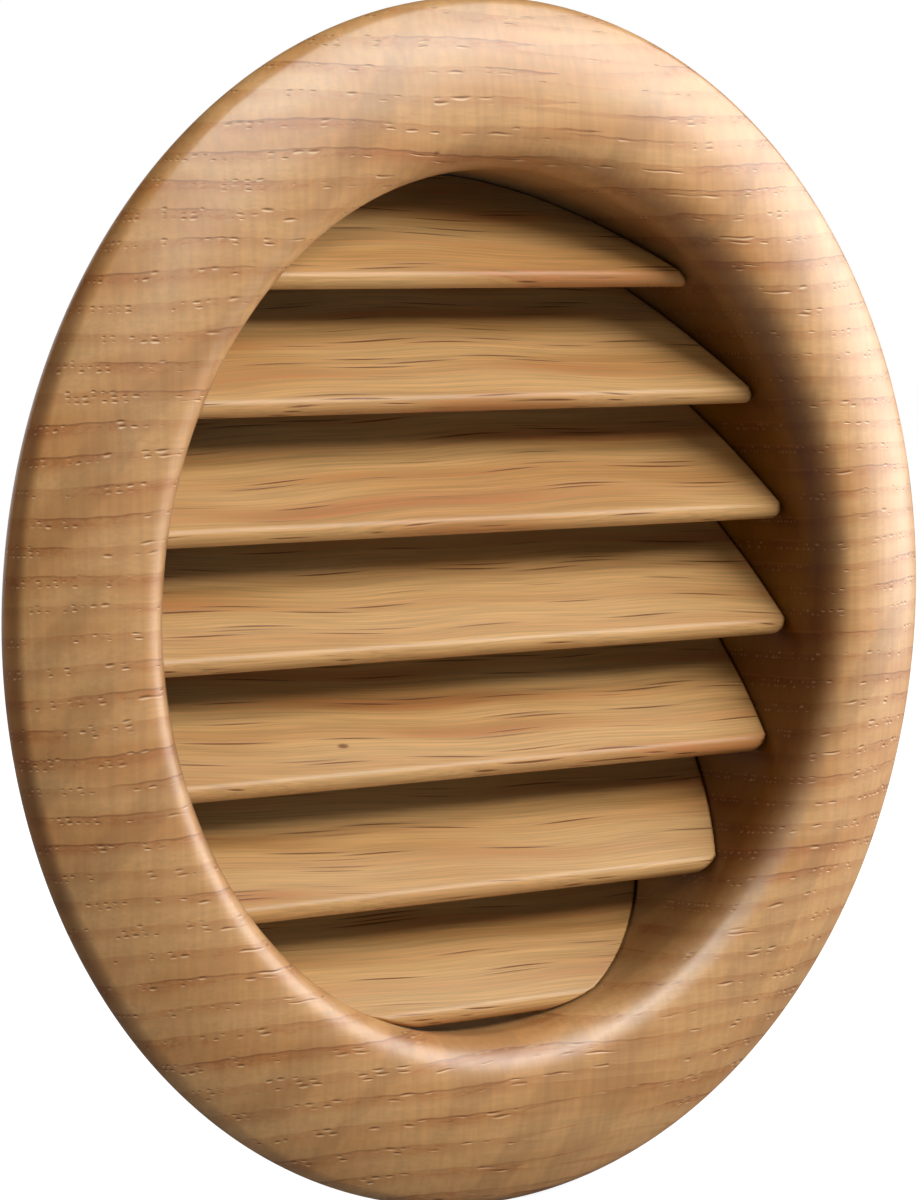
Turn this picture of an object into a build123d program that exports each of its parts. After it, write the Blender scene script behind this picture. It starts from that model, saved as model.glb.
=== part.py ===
from build123d import *
from math import asin, cos, radians, sin
import os

# Round oak vent grille: a turned ring and seven fixed louvre slats, in millimetres.
# The ring's axis is Y, its face looks towards -Y and +Z is up. The origin is on the
# axis, in the plane where the back of the flange lies against the wall.

# Ring: the spigot goes into the duct, the flange covers the wall round the duct's mouth,
# and one bore runs through both. The flange is thickest at the mouth, and its face falls
# in a shallow dome to a half-round rim
duct_radius = 62.5
duct_clearance = 0.5
spigot_length = 18.0
spigot_wall = 7.6
spigot_lead_in = 1.5
spigot_bore_ease = 0.8
flange_cover = 13.4
flange_thickness = 8.2
rim_round = 2.4
mouth_round = 5.9

# Slats: a row that fills the bore from top to bottom, the middle one near the axis
slat_count = 7
slat_row_margin = 0.43
slat_width = 20.6
slat_thickness = 2.7
slat_tilt = 45.0
slat_setback = 7.45
slat_lift = 1.0
slat_rear_ease = 0.4
slat_end_gap = 0.15

spigot_radius = duct_radius - duct_clearance
bore_radius = spigot_radius - spigot_wall
flange_radius = duct_radius + flange_cover
ring_depth = flange_thickness + spigot_length
face_y = -flange_thickness
crest_radius = bore_radius + mouth_round
rim_middle_radius = flange_radius - rim_round
dome_reach = rim_middle_radius - crest_radius
dome_radius = (dome_reach**2 + flange_thickness * (flange_thickness - 2 * rim_round)) / (
    2 * (flange_thickness - 2 * rim_round)
)
dome_lean = asin(dome_reach / (dome_radius - rim_round))
slat_pitch = 2 * (bore_radius - slat_row_margin) / slat_count


def make_ring():
    """The ring: its half section, radius across and depth up, turned about the Y axis."""
    mouth_back = (bore_radius, face_y + mouth_round)
    crest = (crest_radius, face_y)
    out, up = sin(dome_lean), cos(dome_lean)
    dome_end = (rim_middle_radius + rim_round * out, -rim_round - rim_round * up)
    rim_foot = (rim_middle_radius, 0)
    root = (spigot_radius, 0)
    tip = (spigot_radius, spigot_length)
    outlet = (bore_radius, spigot_length)
    outline = [
        TangentArc(mouth_back, crest, tangent=(0, -1)),
        TangentArc(crest, dome_end, tangent=(1, 0)),
        TangentArc(dome_end, rim_foot, tangent=(up, out)),
        Polyline(rim_foot, root, tip, outlet, mouth_back),
    ]
    section = make_face([edge for line in outline for edge in line.edges()])
    section = fillet(section.vertices().sort_by_distance(outlet)[0], spigot_bore_ease)
    section = chamfer(section.vertices().sort_by_distance(tip)[0], spigot_lead_in)
    return revolve(section, axis=Axis.Y)


def slat_section():
    """A slat's section, nose towards -X: half a slot in front, a strip with eased arrises behind."""
    nose_half = SlotOverall(slat_width, slat_thickness)
    rear_half = Pos(slat_width / 4, 0) * Rectangle(slat_width / 2, slat_thickness)
    section = nose_half + rear_half
    return fillet(section.vertices().sort_by(Axis.X)[-2:], slat_rear_ease)


def make_slat(height):
    """A slat with its middle at this height: its section along X, ends cut to the bore's curve."""
    forward, upward = cos(radians(slat_tilt)), sin(radians(slat_tilt))
    nose_radius = slat_thickness / 2
    nose_to_middle = nose_radius + (slat_width / 2 - nose_radius) * forward
    middle = (0, face_y + slat_setback + nose_to_middle, height)
    across = Plane(origin=middle, x_dir=(0, forward, upward), z_dir=(1, 0, 0))
    strip = extrude(across * slat_section(), bore_radius, both=True)
    barrel = extrude(Plane.XZ * Circle(bore_radius - slat_end_gap), ring_depth, both=True)
    return strip & barrel


os.makedirs("parts", exist_ok=True)
export_step(make_ring(), "parts/ring.step")
for number in range(1, slat_count + 1):
    steps_above_middle = (slat_count + 1) / 2 - number
    slat = make_slat(slat_lift + steps_above_middle * slat_pitch)
    export_step(slat, f"parts/slat_{number}.step")
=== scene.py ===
from math import asin, cos, degrees, pi, radians, sin

import bpy
import numpy as np
from mathutils import Matrix, Vector


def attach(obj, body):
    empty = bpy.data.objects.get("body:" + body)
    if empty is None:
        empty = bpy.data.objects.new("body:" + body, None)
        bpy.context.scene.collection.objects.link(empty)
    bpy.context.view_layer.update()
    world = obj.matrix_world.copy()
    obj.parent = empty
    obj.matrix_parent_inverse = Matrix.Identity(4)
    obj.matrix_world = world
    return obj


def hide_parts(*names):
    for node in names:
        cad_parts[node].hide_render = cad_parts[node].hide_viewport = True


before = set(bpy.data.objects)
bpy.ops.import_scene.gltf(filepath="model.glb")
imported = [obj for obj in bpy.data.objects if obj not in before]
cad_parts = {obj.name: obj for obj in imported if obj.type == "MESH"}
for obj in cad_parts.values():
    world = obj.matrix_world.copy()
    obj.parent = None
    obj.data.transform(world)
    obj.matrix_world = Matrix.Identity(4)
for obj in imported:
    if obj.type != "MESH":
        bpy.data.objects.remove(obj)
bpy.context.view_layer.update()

# A round oak vent grille: a turned ring and seven fixed louvre slats under clear satin lacquer.
# The ring's axis is Y, its face looks towards -Y and +Z is up. Shapes are worked out in
# millimetres and put into the meshes in metres.

MILLIMETRE = 0.001

# Ring
flange_radius = 75.89
flange_thickness = 8.2
rim_round = 2.4
bore_radius = 54.4
mouth_round = 5.9
spigot_radius = 62.0
spigot_length = 18.0
spigot_lead_in = 1.5
spigot_bore_ease = 0.8
arris_width = 0.04
ring_turns = 560
face_y = -flange_thickness

# Slats
slat_count = 7
slat_pitch = 15.42
slat_width = 20.6
slat_thickness = 2.7
slat_tilt = radians(45.0)
slat_setback = 7.45
slat_lift = 1.0
slat_rear_ease = 0.4
slat_end_gap = 0.15
slat_end_ease = 0.55
slat_end_run = 1.0
slat_nose_end_ease = 1.15
slat_nose_end_run = 1.9
slat_nose_blend = 0.7
slat_stations = 119
slat_end_steps = 9
slat_least = 0.02


def enclosed_volume(points, faces):
    """Six times the signed volume under the faces, each a fan of triangles from its first point."""
    fans = [np.cross(points[faces[:, i]], points[faces[:, i + 1]]) for i in range(1, faces.shape[1] - 1)]
    return sum(np.einsum("ij,ij->", points[faces[:, 0]], fan) for fan in fans)


def make_piece(name, points, quads, triangles, node, material):
    """A mesh object at the origin from points in millimetres and faces as rows of point numbers;
    the faces are turned round if the enclosed volume comes out negative."""
    if enclosed_volume(points, quads) + enclosed_volume(points, triangles) < 0:
        quads, triangles = quads[:, ::-1], triangles[:, ::-1]
    mesh = bpy.data.meshes.new(name)
    mesh.from_pydata((points * MILLIMETRE).tolist(), [], quads.tolist() + triangles.tolist())
    mesh.polygons.foreach_set("use_smooth", np.ones(len(mesh.polygons), bool))
    mesh.materials.append(material)
    mesh.update()
    piece = bpy.data.objects.new(name, mesh)
    bpy.context.scene.collection.objects.link(piece)
    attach(piece, "root")
    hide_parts(node)


def tube_faces(rings, around):
    """Quads between neighbouring rings of a tube whose rings each close on themselves."""
    first = np.arange(rings - 1)[:, None] * around
    this = np.arange(around)[None, :]
    after = (this + 1) % around
    quads = np.stack([first + this, first + after, first + around + after, first + around + this], -1)
    return quads.reshape(-1, 4)


def arc(centre, radius, start, end, count):
    """Points on a circle, the centre plus the radius times cosine and sine, in equal steps of the angle;
    start and end are in degrees."""
    angle = np.radians(np.linspace(start, end, count))
    return np.column_stack([centre[0] + radius * np.cos(angle), centre[1] + radius * np.sin(angle)])


def run(start, end, count):
    """Points on a straight line, without its ends. Their shares of the way are (1 - cos t) / 2 for equal
    steps of t from 0 to pi, so they stand closer near both ends."""
    share = (1 - np.cos(np.linspace(0, pi, count + 2)[1:-1])) / 2
    return np.array(start) + share[:, None] * (np.array(end) - np.array(start))


def ring_profile():
    """The ring's half section as radius and depth, once round: mouth rounding, domed face, half-round
    rim, back of the flange, spigot with its lead-in chamfer, eased outlet and bore. The dome is the arc
    that starts level at the mouth rounding and touches the rim's circle: its radius is (reach squared +
    thickness times slack) / (2 times slack), where slack is the thickness less two rim radii."""
    mouth_points, dome_points, rim_points, outlet_points = 26, 22, 34, 6
    back_points, spigot_points, tip_points, bore_points = 6, 6, 2, 14
    crest, rim_middle = bore_radius + mouth_round, flange_radius - rim_round
    reach = rim_middle - crest
    slack = flange_thickness - 2 * rim_round
    dome_radius = (reach ** 2 + flange_thickness * slack) / (2 * slack)
    lean = degrees(asin(reach / (dome_radius - rim_round)))
    mouth = arc((crest, face_y + mouth_round), mouth_round, 180, 270, mouth_points)
    dome = arc((crest, face_y + dome_radius), dome_radius, 270, 270 + lean, dome_points)
    rim = arc((rim_middle, -rim_round), rim_round, 270 + lean, 450, rim_points)
    outlet_middle = (bore_radius + spigot_bore_ease, spigot_length - spigot_bore_ease)
    outlet = arc(outlet_middle, spigot_bore_ease, 90, 180, outlet_points)
    lead_in_y, tip_radius = spigot_length - spigot_lead_in, spigot_radius - spigot_lead_in
    root = np.array([(spigot_radius + arris_width, 0), (spigot_radius, 0), (spigot_radius, arris_width)])
    tip = np.array([
        (spigot_radius, lead_in_y - arris_width), (spigot_radius, lead_in_y),
        (tip_radius, spigot_length), (tip_radius - arris_width, spigot_length),
    ])
    return np.concatenate([
        mouth, dome[1:], rim[1:], run(rim[-1], root[0], back_points),
        root, run(root[-1], tip[0], spigot_points), tip, run(tip[-1], outlet[0], tip_points),
        outlet, run(outlet[-1], mouth[0], bore_points),
    ])


def turned_ring(material):
    """The ring: radius and depth from the profile, turned once round the Y axis in equal steps."""
    profile = ring_profile()
    angle = np.linspace(0, 2 * pi, ring_turns, endpoint=False)[:, None]
    radius, depth = profile[:, 0][None, :], profile[:, 1][None, :]
    points = np.stack([radius * np.cos(angle), depth + 0 * angle, radius * np.sin(angle)], -1)
    quads = tube_faces(ring_turns + 1, len(profile)) % (ring_turns * len(profile))
    no_triangles = np.empty((0, 3), int)
    make_piece("oak_ring", points.reshape(-1, 3), quads, no_triangles, "ring", material)


def slat_half_profile():
    """Half of a slat's section from the nose tip over the upper face to the middle of the rear edge,
    with its outward directions: a quarter circle, a straight face and an eased arris."""
    nose_points, face_points, arris_points, rear_points = 14, 26, 5, 1
    half = slat_thickness / 2
    nose = arc((-slat_width / 2 + half, 0), half, 180, 90, nose_points)
    ease_centre = (slat_width / 2 - slat_rear_ease, half - slat_rear_ease)
    arris = arc(ease_centre, slat_rear_ease, 90, 0, arris_points)
    tip = np.array([(slat_width / 2, 0.0)])
    rear = np.concatenate([run(arris[-1], tip[0], rear_points), tip])
    face = run(nose[-1], arris[0], face_points)
    nose_out = (nose - nose[-1] + (0, half)) / half
    face_out = np.tile((0.0, 1.0), (len(face), 1))
    arris_out = (arris - ease_centre) / slat_rear_ease
    rear_out = np.tile((1.0, 0.0), (len(rear), 1))
    outward = np.concatenate([nose_out, face_out, arris_out, rear_out])
    return np.concatenate([nose, face, arris, rear]), outward


def louvre_slat(number, material):
    """A slat: its section carried along X to the bore's curve. A point at height z ends at the half-chord
    sqrt(r squared - z squared), where r is the bore's radius less the end gap. Near each end the section
    shrinks along a quarter circle, larger at the nose, so the arrises and front corners are eased.
    slat_least keeps each line of the section inside the bore and longer than nothing."""
    upper, upper_out = slat_half_profile()
    flip = np.array((1.0, -1.0))
    section = np.concatenate([upper, (upper * flip)[-2:0:-1]])
    outward = np.concatenate([upper_out, (upper_out * flip)[-2:0:-1]])
    nose_share = np.clip(-outward[:, 0], 0, 1) ** slat_nose_blend
    ease = slat_end_ease + (slat_nose_end_ease - slat_end_ease) * nose_share
    ease_run = slat_end_run + (slat_nose_end_run - slat_end_run) * nose_share

    quarter = np.linspace(0, pi / 2, slat_end_steps)
    middle_shares = np.linspace(-1, 1, slat_stations + 2)[1:-1]
    inset = np.concatenate([1 - np.cos(quarter[::-1]), 0 * middle_shares, 1 - np.cos(quarter)])
    from_end = np.concatenate([1 - np.sin(quarter[::-1]), 0 * middle_shares + 1, 1 - np.sin(quarter)])
    share = np.concatenate([0 * quarter - 1, middle_shares, 0 * quarter + 1])

    flat = section[None] - outward[None] * (inset[:, None] * ease[None])[..., None]
    nose_radius = slat_thickness / 2
    steps_above_middle = (slat_count + 1) / 2 - number
    middle_z = slat_lift + steps_above_middle * slat_pitch
    nose_to_middle = nose_radius + (slat_width / 2 - nose_radius) * cos(slat_tilt)
    middle_y = face_y + slat_setback + nose_to_middle
    depth = middle_y + flat[..., 0] * cos(slat_tilt) - flat[..., 1] * sin(slat_tilt)
    end_radius = bore_radius - slat_end_gap
    height = middle_z + flat[..., 0] * sin(slat_tilt) + flat[..., 1] * cos(slat_tilt)
    height = np.clip(height, -end_radius + slat_least, end_radius - slat_least)
    half_chord = np.sqrt(end_radius ** 2 - height ** 2)
    along = share[:, None] * np.maximum(half_chord - from_end[:, None] * ease_run[None], slat_least)
    points = np.stack([along, depth, height], -1).reshape(-1, 3)

    stations, around = along.shape
    top = np.arange(1, len(upper) - 1)
    bottom = around - top
    strip = np.stack([top[:-1], top[1:], bottom[1:], bottom[:-1]], -1)
    tips = np.array([(0, top[0], bottom[0]), (len(upper) - 1, bottom[-1], top[-1])])
    far_end = (stations - 1) * around
    quads = np.concatenate([tube_faces(stations, around), strip, strip[:, ::-1] + far_end])
    triangles = np.concatenate([tips, tips[:, ::-1] + far_end])
    make_piece(f"oak_slat_{number}", points, quads, triangles, f"slat_{number}", material)


# Node helpers

def put(tree, kind, inputs=None, **settings):
    """Adds a node; an input given a socket is linked to it, any other input takes the value."""
    made = tree.nodes.new(kind)
    for key, value in settings.items():
        setattr(made, key, value)
    for key, value in (inputs or {}).items():
        if isinstance(value, bpy.types.NodeSocket):
            tree.links.new(value, made.inputs[key])
        else:
            made.inputs[key].default_value = value
    return made


def calc(tree, operation, *terms):
    """One Math node's result."""
    return put(tree, "ShaderNodeMath", dict(enumerate(terms)), operation=operation).outputs[0]


def wave(tree, place, rate, start):
    """The sine of place times rate plus start, in radians."""
    return calc(tree, "SINE", calc(tree, "MULTIPLY_ADD", place, rate, start))


def vector(tree, operation, *terms):
    """One Vector Math node's vector result."""
    return put(tree, "ShaderNodeVectorMath", dict(enumerate(terms)), operation=operation).outputs[0]


def length(tree, given):
    """A vector's length."""
    return put(tree, "ShaderNodeVectorMath", {0: given}, operation="LENGTH").outputs["Value"]


def split(tree, given):
    """A vector's three parts."""
    return put(tree, "ShaderNodeSeparateXYZ", {0: given}).outputs


def join(tree, x, y, z):
    """A vector from three parts."""
    return put(tree, "ShaderNodeCombineXYZ", {0: x, 1: y, 2: z}).outputs[0]


def chance(tree, cell):
    """A value and a colour drawn by chance, the same wherever the cell is the same."""
    return put(tree, "ShaderNodeTexWhiteNoise", {"Vector": cell}, noise_dimensions="3D").outputs


def fade(tree, value, low, high, at_low=0.0, at_high=1.0):
    """A smooth step: at_low below low, at_high above high."""
    ends = {0: value, 1: low, 2: high, 3: at_low, 4: at_high}
    return put(tree, "ShaderNodeMapRange", ends, interpolation_type="SMOOTHSTEP").outputs[0]


def blend(tree, share, first, second, way="MIX"):
    """Two colours mixed by a share."""
    ends = {0: share, 6: first, 7: second}
    return put(tree, "ShaderNodeMix", ends, data_type="RGBA", blend_type=way).outputs[2]


def noise(tree, place, stretch, detail=0.0, roughness=0.5):
    """Cloudy noise from 0 to 1; stretch gives its cycles per millimetre along, into and across the grain."""
    scaled = vector(tree, "MULTIPLY", place, stretch)
    settings = {"Vector": scaled, "Scale": 1.0, "Detail": detail, "Roughness": roughness}
    return put(tree, "ShaderNodeTexNoise", settings, noise_dimensions="3D").outputs[0]


def colour(red, green, blue):
    """A screen colour from 0 to 255 as the linear colour that Blender works in, by the sRGB curve."""
    share = np.array([red, green, blue]) / 255
    linear = np.where(share <= 0.04045, share / 12.92, ((share + 0.055) / 1.055) ** 2.4)
    return (*linear.tolist(), 1.0)


def new_group(name, inputs, outputs):
    """An empty shader group whose one vector input is called Place and whose other sockets are numbers."""
    group = bpy.data.node_groups.new(name, "ShaderNodeTree")
    group.interface.new_socket("Place", in_out="INPUT", socket_type="NodeSocketVector")
    for key in inputs:
        group.interface.new_socket(key, in_out="INPUT", socket_type="NodeSocketFloat")
    for key in outputs:
        group.interface.new_socket(key, in_out="OUTPUT", socket_type="NodeSocketFloat")
    start = group.nodes.new("NodeGroupInput")
    end = group.nodes.new("NodeGroupOutput")
    return group, start.outputs, end.inputs


# Oak

def oak_pores_group():
    """Vessels of the oak: one long thin ellipsoid in each cell of a lattice whose files are staggered
    along the grain, moved about in its cell by chance, and kept only where its middle lies in the early
    wood of a growth ring. Two sine waves along the grain, out of step from row to row, make clusters.
    Length, Thickness and Row spacing are in millimetres, Size is the ellipsoid's radius in cells."""
    layer_sink = 0.81
    half_length = 0.4
    walls_kept = -2.1
    widest, narrowing = 1.45, -0.6
    core_full, core_gone = 0.3, 1.05
    short_rate, short_step = 0.9, 2.4
    long_rate, long_step = 0.53, 4.1
    gap_depth, gap_edge = -0.7, -0.1
    shaded_lip_range = (-0.15, 0.35)
    highlight_lip_range = (-0.4, 0.1, 1.0, 0.0)
    centre = (0.5,) * 3

    group, given, out = new_group(
        "oak pores",
        ("Row spacing", "Row share", "Length", "Thickness", "Amount", "Size", "Cluster"),
        ("Pore", "Painted shade lip", "Painted highlight lip"),
    )
    cell = join(group, given["Length"], given["Thickness"], given["Thickness"])
    scaled = vector(group, "DIVIDE", given["Place"], cell)
    layer = calc(group, "FLOOR", split(group, scaled)[2])
    sunk = join(group, 0.0, calc(group, "MULTIPLY", layer, layer_sink), 0.0)
    scaled = vector(group, "ADD", scaled, sunk)
    file = vector(group, "MULTIPLY", vector(group, "FLOOR", scaled), (0.0, 1.0, 1.0))
    stagger = chance(group, file)["Value"]
    moved = vector(group, "ADD", scaled, join(group, stagger, 0.0, 0.0))
    corner = vector(group, "FLOOR", moved)
    inside = vector(group, "SUBTRACT", moved, corner)
    draw = chance(group, corner)
    half = join(group, half_length, given["Size"], given["Size"])
    room = vector(group, "MULTIPLY_ADD", half, (walls_kept,) * 3, (1.0,) * 3)
    middle = vector(group, "MULTIPLY_ADD", vector(group, "SUBTRACT", draw["Color"], centre), room, centre)
    offset = vector(group, "DIVIDE", vector(group, "SUBTRACT", inside, middle), half)
    girth = calc(group, "MULTIPLY_ADD", split(group, draw["Color"])[0], narrowing, widest)
    away = calc(group, "MULTIPLY", length(group, offset), girth)
    core = fade(group, away, core_full, core_gone, 1.0, 0.0)

    across = split(group, vector(group, "MULTIPLY", vector(group, "ADD", corner, middle), cell))[2]
    rows_up = calc(group, "DIVIDE", across, given["Row spacing"])
    row_number = calc(group, "FLOOR", rows_up)
    along = split(group, given["Place"])[0]
    short_wave = wave(group, along, short_rate, calc(group, "MULTIPLY", row_number, short_step))
    long_wave = wave(group, along, long_rate, calc(group, "MULTIPLY", row_number, long_step))
    least = calc(group, "SUBTRACT", 1.0, given["Cluster"])
    cluster = fade(group, calc(group, "ADD", short_wave, long_wave), gap_depth, gap_edge, least, 1.0)
    in_row = calc(group, "LESS_THAN", calc(group, "FRACT", rows_up), given["Row share"])
    drawn = calc(group, "LESS_THAN", draw["Value"], given["Amount"])
    kept = calc(group, "MULTIPLY", calc(group, "MULTIPLY", in_row, drawn), cluster)
    core = calc(group, "MULTIPLY", core, kept)
    # Painted shade on each pore's upper edge and a painted highlight on its bottom edge, as light from above
    # would show them on a dimple
    off_axis = split(group, offset)[2]
    group.links.new(core, out["Pore"])
    group.links.new(calc(group, "MULTIPLY", core, fade(group, off_axis, *shaded_lip_range)), out["Painted shade lip"])
    group.links.new(calc(group, "MULTIPLY", core, fade(group, off_axis, *highlight_lip_range)), out["Painted highlight lip"])
    return group


def oak_figure_group():
    """The oak's slower tones: fine fibres and broad bands along the grain, the redder early wood of
    each growth ring with its hairline, ray ripples across the grain and smoky ray bands aslant.
    Each noise has its cycles per millimetre along, into and across the grain."""
    fibre_stretch, fibre_detail, fibre_roughness = (0.05, 1.3, 1.3), 2.0, 0.7
    band_stretch, band_detail = (0.02, 0.12, 0.2), 1.0
    ripple_stretch, ripple_detail, ripple_roughness = (0.9, 0.9, 0.06), 1.0, 0.7
    smoke_stretch = (0.03, 0.05, 0.16)
    early_start, early_end = (0.0, 0.06), (0.2, 0.6, 1.0, 0.0)
    line_start, line_end = (0.0, 0.03), (0.03, 0.12, 1.0, 0.0)
    line_bands = (0.48, 0.58)
    slant_along, slant_across = 0.66, 0.75

    group, given, out = new_group(
        "oak figure",
        ("Row spacing", "Fineness"),
        ("Fibre", "Bands", "Early wood", "Hairline", "Ripple", "Smoke"),
    )
    where = given["Place"]
    along, into, across = split(group, where)
    row = calc(group, "FRACT", calc(group, "DIVIDE", across, given["Row spacing"]))
    early = calc(group, "MULTIPLY", fade(group, row, *early_start), fade(group, row, *early_end))
    line = calc(group, "MULTIPLY", fade(group, row, *line_start), fade(group, row, *line_end))
    bands = noise(group, where, band_stretch, band_detail)
    up_slant = calc(group, "MULTIPLY", across, slant_across)
    slant = calc(group, "MULTIPLY_ADD", along, slant_along, up_slant)
    back_slant = calc(group, "MULTIPLY", along, -slant_across)
    off_slant = calc(group, "MULTIPLY_ADD", across, slant_along, back_slant)
    aslant = join(group, slant, into, off_slant)
    fine = vector(group, "MULTIPLY", where, join(group, 1.0, given["Fineness"], given["Fineness"]))
    group.links.new(noise(group, fine, fibre_stretch, fibre_detail, fibre_roughness), out["Fibre"])
    group.links.new(bands, out["Bands"])
    group.links.new(early, out["Early wood"])
    group.links.new(calc(group, "MULTIPLY", line, fade(group, bands, *line_bands)), out["Hairline"])
    group.links.new(noise(group, where, ripple_stretch, ripple_detail, ripple_roughness), out["Ripple"])
    group.links.new(noise(group, aslant, smoke_stretch), out["Smoke"])
    return group


def board_place(tree, coordinates, turn, shift, dip, drift, wobble):
    """The place in the board, in millimetres along the grain, into the board and across the growth rings:
    the Object coordinate turned and shifted, the grain rising to the face along a hyperbola of the given
    slope, swaying across by two slow waves of the height drift and by a short one of the height wobble."""
    crown_bend = 1000.0
    slow_rate, slow_start = 0.055, 0.7
    quick_rate, quick_lag, quick_share = 0.17, 0.21, 0.5
    short_rate, short_lag = 1.5, 1.3
    placing = {"Vector": coordinates, "Location": shift, "Rotation": turn, "Scale": (1 / MILLIMETRE,) * 3}
    straight = put(tree, "ShaderNodeMapping", placing).outputs[0]
    along, into, across = split(tree, straight)
    crown = calc(tree, "SQRT", calc(tree, "MULTIPLY_ADD", along, along, crown_bend))
    deep = calc(tree, "MULTIPLY_ADD", crown, dip, into)
    slow = wave(tree, along, slow_rate, slow_start)
    quick = wave(tree, along, quick_rate, calc(tree, "MULTIPLY", across, quick_lag))
    sway = calc(tree, "MULTIPLY", calc(tree, "MULTIPLY_ADD", quick, quick_share, slow), drift)
    short = wave(tree, along, short_rate, calc(tree, "MULTIPLY", across, short_lag))
    sway = calc(tree, "MULTIPLY_ADD", short, wobble, sway)
    return join(tree, along, deep, calc(tree, "ADD", across, sway)), along, across


def uneven_rows(tree, along, across, left, right):
    """Row spacing that changes from left to right of a wavy edge across the board's middle."""
    edge_rate, edge_reach = 1.7, 14.0
    edge = calc(tree, "MULTIPLY", wave(tree, across, edge_rate, 0.0), edge_reach)
    past_edge = calc(tree, "GREATER_THAN", along, edge)
    return calc(tree, "MULTIPLY_ADD", past_edge, right - left, left)


def end_grain_and_shade_shares(tree, coordinates):
    """How far the surface faces along the grain, from 0 to 1, and how much of the darker end-grain tone it
    takes there: all of it in the bore, less on the rim. On the right it starts earlier in the mouth's
    rounding. The tone is the end grain's own, and in the bore and on the right of the mouth, which turn
    away from the lamps, it is also painted shade."""
    mouth_inner, mouth_outer = 0.056, 0.062
    right_start, right_full = -0.01, 0.03
    facing_start, right_mouth_shade_start, facing_full = 0.4, 0.05, 0.9
    rim_share = 0.85
    normal = put(tree, "ShaderNodeNewGeometry").outputs["Normal"]
    facing = calc(tree, "ABSOLUTE", split(tree, normal)[0])
    from_axis = length(tree, vector(tree, "MULTIPLY", coordinates, (1.0, 0.0, 1.0)))
    inside = fade(tree, from_axis, mouth_inner, mouth_outer, 1.0, 0.0)
    right = fade(tree, split(tree, coordinates)[0], right_start, right_full)
    start = fade(tree, calc(tree, "MULTIPLY", inside, right), 0.0, 1.0, facing_start, right_mouth_shade_start)
    end_grain = fade(tree, facing, start, facing_full)
    return end_grain, calc(tree, "MULTIPLY", end_grain, fade(tree, inside, 0.0, 1.0, rim_share, 1.0))


def knot_share(tree, coordinates, knot):
    """Darkest at a knot's middle, given in metres, and fading to 0 at its radius, given in millimetres;
    along the grain a knot is longer than it is high."""
    middle, radius = knot[:3], knot[3]
    core_share, darkest, along_share = 0.3, 0.85, 0.45
    stretch = (along_share / MILLIMETRE, 1 / MILLIMETRE, 1 / MILLIMETRE)
    away = vector(tree, "SUBTRACT", coordinates, middle)
    reach = length(tree, vector(tree, "MULTIPLY", away, stretch))
    return fade(tree, reach, radius * core_share, radius, darkest, 0.0)


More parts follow.
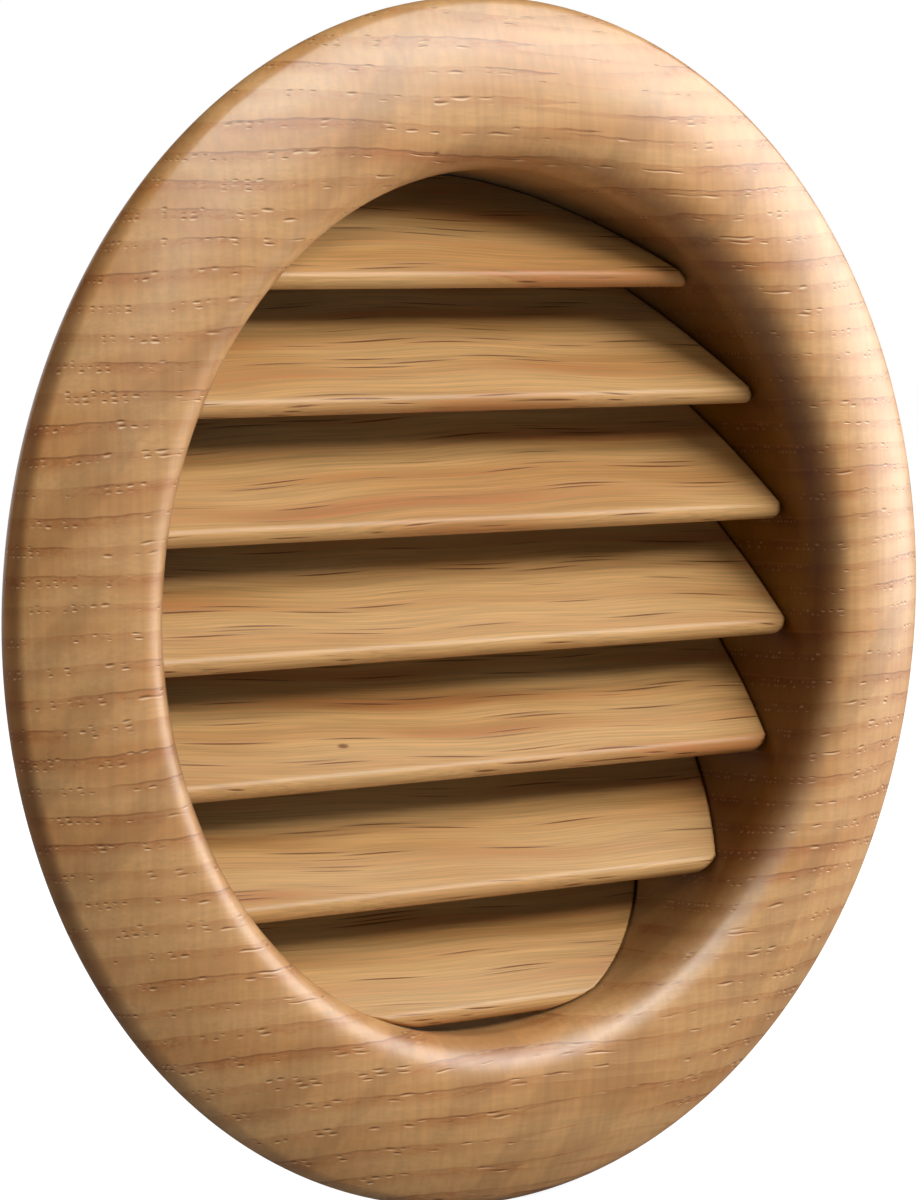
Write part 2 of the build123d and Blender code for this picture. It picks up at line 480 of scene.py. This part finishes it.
def oak_material(name, groups, board, rows, vessels, tones, fibre, fineness, early, coat,
                 stain=0.0, lips=None, hairline=0.0, ripple=0.0, smoke=0.0, knot=None):
    """Lacquered oak: tones from the figure, darker where the grain ends, which in the bore and the right of
    the mouth is also painted shade, pores as dimples, stained all over or with painted shade on each
    pore's upper edge and a painted highlight on its bottom edge. board places the wood in its board,
    rows is the growth rings' spacing or two of them, and vessels and fineness are the groups' own
    values. fibre is the shade between and on the fibres; early, stain, hairline, ripple and smoke are
    shares; lips holds the shares of the painted shade and the painted highlight and the highlight's
    colour; coat holds the lacquer's weight, its roughness and the specular level under it. A range here
    is the two ends of a smooth step, with what it gives at each end where that isn't 0 and 1."""
    deep_range = (0.35, 0.65)
    fibre_in_bands, red_range = 0.5, (0.74, 0.95)
    red_by_early_range = (0.0, 1.0, 0.2, 0.6)
    streak_range = (0.4, 0.65, 0.45, 1.0)
    fibre_range = (0.25, 0.75)
    ripple_range = (0.3, 0.7)
    smoke_range = (0.56, 0.68)
    highlight_on_end_grain = 0.25
    shine_range = (0.3, 0.7, 0.4, 0.48)
    dimple_strength, dimple_depth = 0.7, 0.00008
    material = bpy.data.materials.new(name)
    material.use_nodes = True
    tree = material.node_tree
    shader = tree.nodes["Principled BSDF"]
    coordinates = put(tree, "ShaderNodeTexCoord").outputs["Object"]
    place, along, across = board_place(tree, coordinates, **board)
    spacing = rows if isinstance(rows, float) else uneven_rows(tree, along, across, *rows)
    placed = {"Place": place, "Row spacing": spacing}
    pores_node, figure_node = groups
    pores = put(tree, "ShaderNodeGroup", {**placed, **vessels}, node_tree=pores_node).outputs
    grain = put(tree, "ShaderNodeGroup", {**placed, "Fineness": fineness}, node_tree=figure_node).outputs

    pale, deep, red, dark = tones
    wood = blend(tree, fade(tree, grain["Bands"], *deep_range), pale, deep)
    ragged = calc(tree, "MULTIPLY_ADD", grain["Fibre"], fibre_in_bands, grain["Bands"])
    red_in_early = fade(tree, grain["Early wood"], *red_by_early_range)
    red_bands = calc(tree, "MULTIPLY", fade(tree, ragged, *red_range), red_in_early)
    streaks = calc(tree, "MULTIPLY", grain["Early wood"], fade(tree, grain["Fibre"], *streak_range))
    wood = blend(tree, calc(tree, "MULTIPLY_ADD", streaks, early, red_bands), wood, red)
    shade = fade(tree, grain["Fibre"], *fibre_range, *fibre)
    if ripple:
        ripples = fade(tree, grain["Ripple"], *ripple_range, 1.0 - ripple, 1.0 + ripple)
        shade = calc(tree, "MULTIPLY", shade, ripples)
    if smoke:
        smoky = fade(tree, grain["Smoke"], *smoke_range, 1.0, 1.0 - smoke)
        shade = calc(tree, "MULTIPLY", shade, smoky)
    wood = blend(tree, 1.0, wood, shade, "MULTIPLY")
    # The darker end-grain tone, which in the bore and on the mouth's right side is also painted shade
    end_grain, end_grain_and_shade = end_grain_and_shade_shares(tree, coordinates)
    wood = blend(tree, end_grain_and_shade, wood, blend(tree, 1.0, wood, end_grain_and_shade_tone, "MULTIPLY"))
    if hairline:
        wood = blend(tree, calc(tree, "MULTIPLY", grain["Hairline"], hairline), wood, dark)
    if stain:
        wood = blend(tree, calc(tree, "MULTIPLY", pores["Pore"], stain), wood, dark)
    if lips:
        # Painted shade on the pores' upper edges and a painted highlight on their bottom edges
        shade_share, highlight_share, highlight_colour = lips
        wood = blend(tree, calc(tree, "MULTIPLY", pores["Painted shade lip"], shade_share), wood, dark)
        painted_highlight = calc(tree, "MULTIPLY", pores["Painted highlight lip"], highlight_share)
        painted_highlight = calc(tree, "MULTIPLY", painted_highlight, fade(tree, end_grain, 0.0, 1.0, 1.0, highlight_on_end_grain))
        wood = blend(tree, painted_highlight, wood, highlight_colour)
    if knot:
        wood = blend(tree, knot_share(tree, coordinates, knot), wood, dark)
    tree.links.new(wood, shader.inputs["Base Color"])

    tree.links.new(fade(tree, grain["Fibre"], *shine_range), shader.inputs["Roughness"])
    dimples = {"Height": pores["Pore"], "Strength": dimple_strength, "Distance": dimple_depth}
    bump = put(tree, "ShaderNodeBump", dimples, invert=True)
    tree.links.new(bump.outputs[0], shader.inputs["Normal"])
    for socket, value in zip(("Coat Weight", "Coat Roughness", "Specular IOR Level"), coat):
        shader.inputs[socket].default_value = value
    return material


# The stage

def place_camera():
    """The camera on a sphere round the origin, aimed a little left of and above it, so that the ring
    fills the frame as it does in the photograph. focal and the origin's place beside the picture's
    middle are in pixels of the 1200-pixel height."""
    azimuth, elevation, roll = radians(-41.655), radians(3.748), radians(-0.297)
    distance, focal, origin_right, origin_down = 0.6256, 4959.0, 22.08, 2.47
    picture_height, sensor, nearest = 1200, 36.0, 0.01
    back = Vector((sin(azimuth) * cos(elevation), -cos(azimuth) * cos(elevation), sin(elevation)))
    level = Vector((cos(azimuth), sin(azimuth), 0))
    upright = back.cross(level)
    right = level * cos(roll) + upright * sin(roll)
    up = upright * cos(roll) - level * sin(roll)
    look = (-back * focal - right * origin_right + up * origin_down).normalized()
    right = (right - look * right.dot(look)).normalized()
    up = right.cross(look)
    camera_data = bpy.data.cameras.new("camera")
    camera_data.sensor_width = sensor
    camera_data.lens = focal / picture_height * sensor
    camera_data.clip_start = nearest
    camera = bpy.data.objects.new("camera", camera_data)
    turn = Matrix((right, up, -look)).transposed().to_4x4()
    camera.matrix_world = Matrix.Translation(back * distance) @ turn
    bpy.context.scene.collection.objects.link(camera)
    bpy.context.scene.camera = camera


def soft_lamp(name, place, aim, width, height, power, tint, mirrored=True, lit=True):
    """A rectangular lamp at a place, facing the point that it aims at, with its width level. The lacquer
    mirrors it where mirrored is true, and it lights the wood itself where lit is true."""
    data = bpy.data.lights.new(name, "AREA")
    data.shape = "RECTANGLE"
    data.size, data.size_y, data.energy, data.color = width, height, power, tint
    lamp = bpy.data.objects.new(name, data)
    lamp.location = place
    lamp.rotation_mode = "QUATERNION"
    lamp.rotation_quaternion = (Vector(aim) - Vector(place)).to_track_quat("-Z", "Y")
    lamp.visible_camera = False
    lamp.visible_glossy = mirrored
    lamp.visible_diffuse = lit
    bpy.context.scene.collection.objects.link(lamp)


def seen_white(tree, behind):
    """1 for what the camera sees directly; in a mirror or through glass it is the share behind."""
    path = put(tree, "ShaderNodeLightPath").outputs
    not_direct = calc(tree, "MAXIMUM", path["Is Glossy Ray"], path["Is Transmission Ray"])
    return calc(tree, "MAXIMUM", path["Is Camera Ray"], calc(tree, "MULTIPLY", not_direct, behind))


def pale_floor():
    """A level square under the ring; it looks white, and the ring's shadow shows on it."""
    side = 4.0
    paint_colour, white_colour = (0.3, 0.3, 0.3, 1.0), (1.0, 1.0, 1.0, 1.0)
    mirrored_from, mirrored_full = 0.9, 1.6
    glow_range = (0.12, 0.4, 0.92, 1.0)
    mesh = bpy.data.meshes.new("pale_floor")
    corner = np.array([(-1, -1), (1, -1), (1, 1), (-1, 1)]) * side / 2
    points = np.column_stack([corner, np.full(4, -flange_radius * MILLIMETRE)])
    mesh.from_pydata(points.tolist(), [], [(0, 1, 2, 3)])
    material = bpy.data.materials.new("pale floor")
    material.use_nodes = True
    material.cycles.emission_sampling = "NONE"
    tree = material.node_tree
    tree.nodes.remove(tree.nodes["Principled BSDF"])
    paint = put(tree, "ShaderNodeBsdfDiffuse", {"Color": paint_colour}).outputs[0]
    ground = put(tree, "ShaderNodeTexCoord").outputs["Object"]
    seen = seen_white(tree, fade(tree, split(tree, ground)[1], mirrored_from, mirrored_full))
    reach = length(tree, vector(tree, "MULTIPLY", ground, (1.0, 1.0, 0.0)))
    glow = calc(tree, "MULTIPLY", seen, fade(tree, reach, *glow_range))
    white = put(tree, "ShaderNodeEmission", {"Color": white_colour, "Strength": glow}).outputs[0]
    both = put(tree, "ShaderNodeAddShader", {0: paint, 1: white}).outputs[0]
    tree.links.new(both, tree.nodes["Material Output"].inputs["Surface"])
    mesh.materials.append(material)
    floor = bpy.data.objects.new("pale_floor", mesh)
    bpy.context.scene.collection.objects.link(floor)


def studio_world():
    """Dim even light from all round; the camera sees white."""
    dim_strength = 0.012
    mirrored_from, mirrored_full = 0.85, 0.97
    plain_white = (1.0, 1.0, 1.0, 1.0)
    world = bpy.data.worlds.new("studio")
    bpy.context.scene.world = world
    world.use_nodes = True
    world.cycles.sampling_method = "NONE"
    tree = world.node_tree
    tree.nodes.remove(tree.nodes["Background"])
    dim = put(tree, "ShaderNodeBackground", {"Color": plain_white, "Strength": dim_strength}).outputs[0]
    white = put(tree, "ShaderNodeBackground", {"Color": plain_white, "Strength": 1.0}).outputs[0]
    direction = put(tree, "ShaderNodeTexCoord").outputs["Generated"]
    seen = seen_white(tree, fade(tree, split(tree, direction)[1], mirrored_from, mirrored_full))
    mixed = put(tree, "ShaderNodeMixShader", {0: seen, 1: dim, 2: white}).outputs[0]
    tree.links.new(mixed, tree.nodes["World Output"].inputs["Surface"])


# The pieces and their oak; tones are pale, deep, red and dark, and the dark one also paints the shade on the
# pores' upper edges

oak_groups = (oak_pores_group(), oak_figure_group())
ring_tones = (colour(219, 168, 110), colour(210, 154, 94), colour(190, 126, 70), colour(130, 74, 30))
slat_tones = (colour(223, 175, 114), colour(210, 158, 95), colour(200, 130, 75), colour(122, 68, 18))
# Colour of the painted highlight on the pores' bottom edges
pore_highlight_colour = colour(240, 204, 152)
# The end grain's darker tone; in the bore and the mouth's right side it also stands for painted shade
end_grain_and_shade_tone = colour(126, 99, 29)

# A spacing below zero starts each growth ring at its top
ring_board = dict(turn=(0, 0, 0), shift=(-14.0, 0, 0), dip=0.22, drift=0.5, wobble=0.05)
ring_rows = (-3.5, -3.1)
ring_vessels = {
    "Length": 16.0, "Thickness": 0.6, "Amount": 1.0, "Size": 0.46, "Row share": 0.38, "Cluster": 0.9,
}
ring_knot = (-0.0138, -0.0077, 0.0561, 0.35)
# The ring's pores carry painted shade on their upper edges and a painted highlight on their bottom edges
turned_ring(oak_material(
    "ring oak", oak_groups, ring_board, ring_rows, ring_vessels, ring_tones,
    fibre=(0.93, 1.06), fineness=1.6, early=0.58, coat=(0.42, 0.25, 0.4), lips=(0.95, 0.8, pore_highlight_colour),
    hairline=0.55, ripple=0.05, smoke=0.13, knot=ring_knot,
))

# Each slat is cut from its own stretch of board, and its grain leans by so many degrees
slat_rows = 5.0
slat_vessels = {"Length": 22.0, "Thickness": 0.62, "Amount": 0.95, "Size": 0.3, "Row share": 0.7}
slat_knots = {5: (-0.0209, 0.0025, -0.017, 0.55)}
slat_leans = (0.5, 0.4, -0.3, 2.2, 2.6, 2.4, 0.6)
slat_stretch = np.array((210.0, 13.0, 37.0))
for number, lean in enumerate(slat_leans, 1):
    own_stretch = tuple(slat_stretch * number)
    slat_turn = (slat_tilt, radians(-lean), 0)
    slat_board = dict(turn=slat_turn, shift=own_stretch, dip=0.0, drift=0.6, wobble=0.0)
    louvre_slat(number, oak_material(
        f"slat {number} oak", oak_groups, slat_board, slat_rows, slat_vessels, slat_tones,
        fibre=(0.78, 1.13), fineness=3.2, early=0.3, coat=(0.2, 0.26, 0.2), stain=0.9,
        knot=slat_knots.get(number),
    ))

# Camera and light, in metres and watts; one bounce keeps the shades between the slats deep

place_camera()
pale_floor()
studio_world()
object_middle = (0, 0, 0)
lamp_white, warm_white, cool_white = (1.0, 0.98, 0.96), (1.0, 0.87, 0.7), (0.98, 0.99, 1.0)
sky_white = (0.72, 0.9, 1.0)
soft_lamp("high bar", place=(0.42, -0.64, 0.64), aim=(0.42, 0, 0),
          width=0.9, height=0.16, power=3.6, tint=lamp_white)
soft_lamp("low bar", place=(0.7, -0.77, 0.45), aim=(0.6, 0, 0),
          width=0.8, height=0.16, power=5.5, tint=lamp_white, mirrored=False)
soft_lamp("side lamp", place=(0.74, -0.16, 0.2), aim=object_middle,
          width=0.5, height=0.6, power=4.4, tint=lamp_white)
soft_lamp("sheen panel", place=(0.45, -0.63, 0.6), aim=object_middle,
          width=1.0, height=0.7, power=10.0, tint=sky_white, lit=False)
soft_lamp("front fill", place=(-0.3, -0.77, 0.45), aim=object_middle,
          width=0.5, height=0.3, power=0.85, tint=warm_white, mirrored=False)
soft_lamp("left panel", place=(-0.764, 0.219, 0.423), aim=object_middle,
          width=0.9, height=0.8, power=5.6, tint=cool_white, mirrored=False)
bpy.context.scene.cycles.diffuse_bounces = 1
bpy.context.scene.cycles.glossy_bounces = 1
bpy.context.scene.view_settings.view_transform = "Standard"
